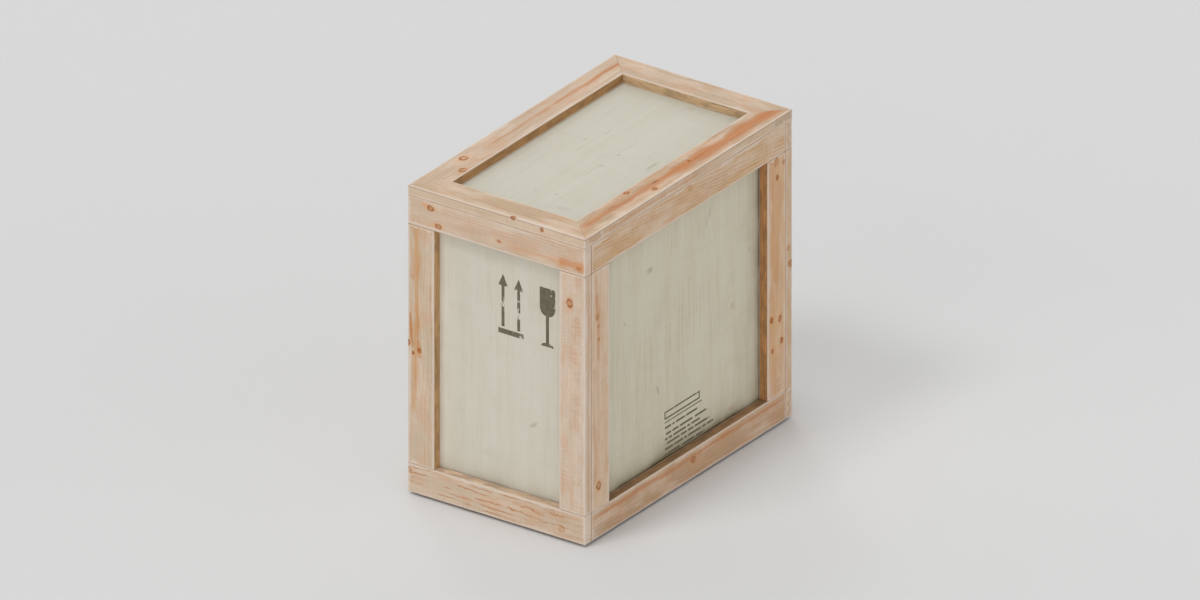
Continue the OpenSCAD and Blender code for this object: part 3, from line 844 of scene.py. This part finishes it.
def paint_film(name, low, high, cover, origin, across, outward):
    """A film of paint wherever cover(x, z) is over zero, by marching over a grid of small cells."""
    columns = math.ceil((high[0] - low[0]) / film_cell) + 2
    rows = math.ceil((high[1] - low[1]) / film_cell) + 2
    grid = [(low[0] + film_cell * (i - 1), low[1] + film_cell * (j - 1))
            for j in range(rows + 1) for i in range(columns + 1)]
    level = [cover(*point) for point in grid]
    corners, faces, places = [], [], {}

    def vertex(key, depth):
        if (key, depth) not in places:
            a, b = key
            share = min(0.9, max(0.1, level[a] / (level[a] - level[b]))) if a != b else 0
            x = grid[a][0] + share * (grid[b][0] - grid[a][0])
            z = grid[a][1] + share * (grid[b][1] - grid[a][1])
            places[key, depth] = len(corners)
            corners.append(origin + across * x + UP * z + outward * depth)
        return places[key, depth]

    for j in range(rows):
        for i in range(columns):
            cell = j * (columns + 1) + i
            loop = [cell, cell + 1, cell + columns + 2, cell + columns + 1]
            ring = []
            for a, b in zip(loop, loop[1:] + loop[:1]):
                if level[a] > 0:
                    ring.append((a, a))
                if (level[a] > 0) != (level[b] > 0):
                    ring.append((a, b) if a < b else (b, a))
            if len(ring) < 3:
                continue
            faces.append([vertex(key, film_thickness) for key in ring])
            faces.append([vertex(key, 0) for key in reversed(ring)])
            for here, there in zip(ring, ring[1:] + ring[:1]):
                if here[0] != here[1] and there[0] != there[1]:
                    faces.append([vertex(there, film_thickness), vertex(here, film_thickness),
                                  vertex(here, 0), vertex(there, 0)])
    mesh = bpy.data.meshes.new(name)
    mesh.from_pydata([point / 1000 for point in corners], [], faces)
    mesh.materials.append(stencil_paint)
    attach(placed(name, mesh), "crate")


def worn(x, z, share, seed):
    """Under zero where the paint has gone, over a share of the film that is 0 to 1."""
    coarse = noise.noise(Vector((x * 0.09, z * 0.05, seed)))
    fine = noise.noise(Vector((x * 0.45, z * 0.3, seed + 7)))
    return 6 * (0.55 - share + 0.55 * coarse + 0.5 * fine)


def fuzzy(x, z, seed, blur=0.5):
    """How far the sprayed edge strays from the stencil's."""
    return blur * noise.noise(Vector((x, z, seed)) * 0.4)


def arrow(middle, tip, foot, bare):
    """One arrow of the pair. The bare lengths are where its paint has worn, and by how much."""
    head, head_half, shaft_half = 37, 16.2, 5

    def cover(x, z):
        side = abs(x - middle)
        if z > tip - head:
            inside = min(head_half * (tip - z) / head - side, tip - z, z - foot)
        else:
            inside = min(shaft_half - side, tip - z, z - foot)
        if z < tip - head + 1 and side > shaft_half:
            inside = min(inside, shaft_half - side)
        gone = max((share for start, end, share in bare if start < z < end), default=0.02)
        return min(inside + fuzzy(x, z, 3), worn(x, z, gone, middle))
    return cover


def rounded(share):
    """How high a quarter circle stands at a share of its width."""
    return math.sqrt(max(0, 1 - share ** 2))


def glass(x, z):
    rim, bowl, bowl_foot, stem_foot, foot = 741, 684, 654, 571, 560
    middle, bowl_half, stem_half, foot_half = 151.5, 26.5, 5.4, 21
    side = abs(x - middle)
    if z > bowl:
        breadth = bowl_half
    elif z > bowl_foot:
        breadth = stem_half + (bowl_half - stem_half) * rounded((bowl - z) / (bowl - bowl_foot))
    elif z > stem_foot:
        breadth = stem_half
    else:
        breadth = stem_half + (foot_half - stem_half) * rounded((z - foot) / (stem_foot - foot))
    inside = min(breadth - side, rim - z, z - foot)
    edge = 0.56 if z > 712 else 0.36
    gone = edge if x > 171 - 9 * (z > 718) and z > 660 else 0.35 if x > 158 and z < 572 else 0.0
    return min(inside + fuzzy(x, z, 9), worn(x, z, gone, 40))


def bar(x, z):
    left, right, bottom, top, worn_from = -15, 71, 560, 575.5, 56
    inside = min(x - left, right - x, z - bottom, top - z)
    return min(inside + fuzzy(x, z, 5), worn(x, z, 0.5 if x > worn_from else 0.06, 60))


front_face = Vector((0, -470, 8))
for name, low, high, cover in (
        ("mark_arrow_left", (-17, 574), (19, 746), arrow(1, 744, 582, [(622, 672, 0.45)])),
        ("mark_arrow_right", (36, 574), (72, 743),
         arrow(54, 741, 581, [(616, 640, 0.6), (640, 712, 0.36)])),
        ("mark_bar", (-17, 558), (73, 577), bar), ("mark_glass", (123, 558), (180, 743), glass)):
    paint_film(name, low, high, cover, front_face, RIGHT, FRONT)


# Blank form. A ruled field for a packing list on the right panel, sprayed with the same paint and
# left empty: a box for the heading, a rule under it and six broken rules to write on.
def blank_form(y, z):
    margin, rule_half, gap_half = -72, 3.1, 3

    def box(left, right, bottom, top):
        return min(y - left, right - y, z - bottom, top - z)
    heading = min(box(-74, 96, 207, 231.5), -box(-69, 91, 212, 226.5))
    inside = max(heading, box(-74, 106, 196, 199.5))
    for row, (level, length) in enumerate(((181, 163), (161, 207), (145.5, 170), (131, 217),
                                           (115, 233), (99, 190))):
        line = box(margin, margin + length, level - rule_half, level + rule_half)
        breaks = min(abs((y - margin + 31 * row) % 67 - 33),
                     abs((y - margin + 17 * row) % 109 - 50))
        inside = max(inside, min(line, breaks - gap_half))
    return min(inside + fuzzy(y, z, 2, 0.3), worn(y, z, 0.12, 90))


paint_film("blank_form", (-76, 94), (164, 233), blank_form, Vector((270, 0, 8)), REAR, RIGHT)


# Stopped nails. The frame nails are punched below the face and their holes filled with putty, which
# stands a hair proud of the planed wood. The discs are of the putty alone.
putty, nodes, surface = finish_of("putty", Specular_IOR_Level=0.2)
dried = nodes.noise(nodes.millimetres(), 0.5, 3)
join(nodes, surface, Base_Color=nodes.mix(dried, srgb(204, 184, 160), srgb(184, 160, 134)),
     Roughness=nodes.fade(dried, 0.3, 0.7, 0.7, 0.9), Normal=nodes.bump(dried, 0.0002))
stop_radius = 2.6
stop_depth = 1.0
stop_taper = 0.15
stop_sunk = 0.55


def stops(name, outward, centres, body="crate"):
    """Putty discs on one face of the crate, as one piece."""
    turned = outward.to_track_quat("Z", "Y").to_matrix().to_4x4()
    places = [Matrix.Translation(Vector(centre) - outward * stop_sunk) @ turned
              for centre in centres]
    mesh = pegs(name, places, stop_radius, stop_depth, stop_taper)
    mesh.materials.append(putty)
    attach(placed(name, mesh), body)


corner_levels = (52, 205.2, 335.6, 466, 596.4, 726.8, 880)
bearer_level = 19
bearer_middles = (-417, 0, 417)
pair_offset = 22
lid_top = 954
for name, outward, face in (("front_stops", FRONT, -500), ("rear_stops", REAR, 500)):
    stops(name, outward, [(side * side_line, face, level) for side in (-1, 1) for level in corner_levels]
          + [(x, face, bearer_level) for x in along_ends])
for name, outward, face in (("left_stops", LEFT, -300), ("right_stops", RIGHT, 300)):
    stops(name, outward, [(face, middle + step, bearer_level) for middle in bearer_middles
                          for step in (-pair_offset, pair_offset)])
stops("lid_stops", UP, [(x, side * end_line, lid_top) for x in along_ends for side in (-1, 1)]
      + [(side * side_line, y, lid_top) for y in along_sides for side in (-1, 1)], "lid")


# Nails. Bright steel that has dulled. Flat heads show inside, flush with the plywood, and the
# lid's own nails stand out of its underside once it is lifted.
steel, nodes, surface = finish_of("dull_steel", Metallic=0.9)
here = nodes.millimetres()
tarnish = nodes.noise(here, 0.35, 3)
rust = nodes.fade(nodes.noise(here, 0.9, 3), 0.56, 0.68)
nodes.colour = nodes.mix(tarnish, srgb(168, 166, 160), srgb(120, 116, 110))
nodes.lay(srgb(120, 78, 48), rust, 0.5)
join(nodes, surface, Base_Color=nodes.colour, Roughness=nodes.fade(tarnish, 0.3, 0.7, 0.32, 0.55),
     Normal=nodes.bump(tarnish, 0.0001))
for node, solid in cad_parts.items():
    if node.endswith(("_nails", "_pins")):
        solid.data.materials.clear()
        solid.data.materials.append(steel)


# Lid. A frame of four pine battens, lapped at the corners and mitred on top, over a sheet of
# plywood that drops in between the walls. Heartwood runs down the whole of its right batten.
dark_slit, chalky = (120, 74, 48), (220, 201, 178)
timber("lid_front_batten", REAR, UP, (198, 174, 146), "lid", lap="through", joints="mitre",
       recess=(196, 160, 122),
       knots=[((56, -498, 954), 6, 0.9, 1.0), ((153, -500, 943), 4.5, 0.9, 0.9)],
       streaks=[((-380, -500, 938), (380, -500, 939), 26, 0.65, chalky)])
timber("lid_rear_batten", FRONT, UP, (198, 177, 154), "lid", lap="through", joints="mitre",
       wild=3, ring_share=0.2, recess=(200, 168, 130))
timber("lid_left_batten", RIGHT, UP, (207, 185, 163), "lid", lap="shouldered", joints="mitre",
       recess=(180, 136, 88),
       knots=[((-269, -275, 954), 11, 1.0, 0.0), ((-228, -337, 954), 10, 1.0, 0.1)],
       streaks=[((-258, 520, 954), (-258, 120, 954), 11, 0.8),
                ((-258, 150, 954), (-257, -180, 954), 8, 0.5)])
timber("lid_right_batten", LEFT, UP, (192, 165, 136), "lid", lap="shouldered", joints="mitre",
       recess=(196, 160, 122),
       knots=[((274, -128, 954), 8, 1.0, 0.7), ((225, -194, 954), 7, 1.0, 0.6),
              ((253, 69, 954), 6, 0.9, 1.0)],
       streaks=[((262, 560, 954), (262, -60, 954), 30, 1.0, (190, 122, 72)),
                ((262, 540, 954), (258, -100, 954), 18, 1.0),
                ((258, 60, 954), (252, -470, 954), 19, 0.8),
                ((252, -76, 954), (252, -106, 954), 2.5, 1.0, dark_slit),
                ((249, -266, 954), (249, -314, 954), 2.5, 0.6, dark_slit),
                ((300, -600, 938), (300, 600, 938), 22, 0.6, (224, 202, 176)),
                ((300, -420, 940), (300, 120, 938), 5, 0.4)])
